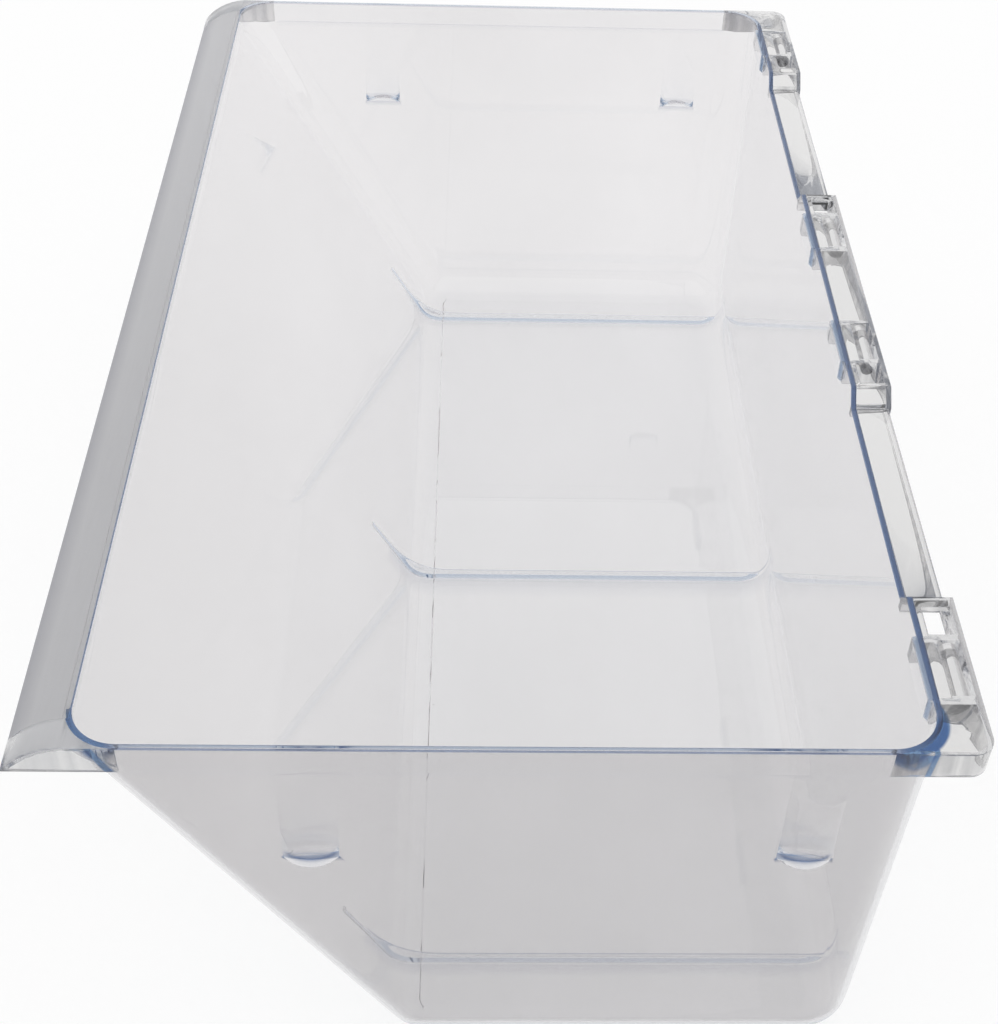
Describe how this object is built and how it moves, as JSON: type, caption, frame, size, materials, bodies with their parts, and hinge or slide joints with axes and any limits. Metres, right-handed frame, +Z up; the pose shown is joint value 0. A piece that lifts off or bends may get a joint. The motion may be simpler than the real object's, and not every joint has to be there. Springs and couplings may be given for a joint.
{
  "type": "fridge crisper drawer",
  "caption": "Clear moulded fridge drawer with one leaning side, a frosted grip lip along it and a rail of raised clip blocks on the opposite side, for holding produce",
  "frame": {"origin": "bottom centre of the bounding box, on the surface the drawer stands on", "axes": "+X towards the clip rail, with the grip lip at -X; +Y along the drawer's length, away from the end nearest the picture's camera; +Z up"},
  "size_m": [0.2724, 0.4584, 0.1562],
  "materials": {
    "clear_tub": "clear, glossy, faintly blue at its edges",
    "clear_trim": "clear, glossy",
    "clear_rail": "clear, glossy, faintly blue at its edges",
    "frosted_grip": "finely textured, frosted"
  },
  "bodies": {
    "root": {"drawer_tub": "clear_tub", "grip_lip": "frosted_grip", "near_grip_end_cap": "clear_trim", "far_grip_end_cap": "clear_trim", "near_clip_block": "clear_rail", "middle_clip_block": "clear_rail", "far_clip_block": "clear_rail", "near_low_flange": "clear_rail", "far_low_flange": "clear_rail", "near_clip_bar": "clear_rail", "middle_near_clip_bar": "clear_rail", "middle_far_clip_bar": "clear_rail", "far_clip_bar": "clear_rail"}
  },
  "joints": []
}
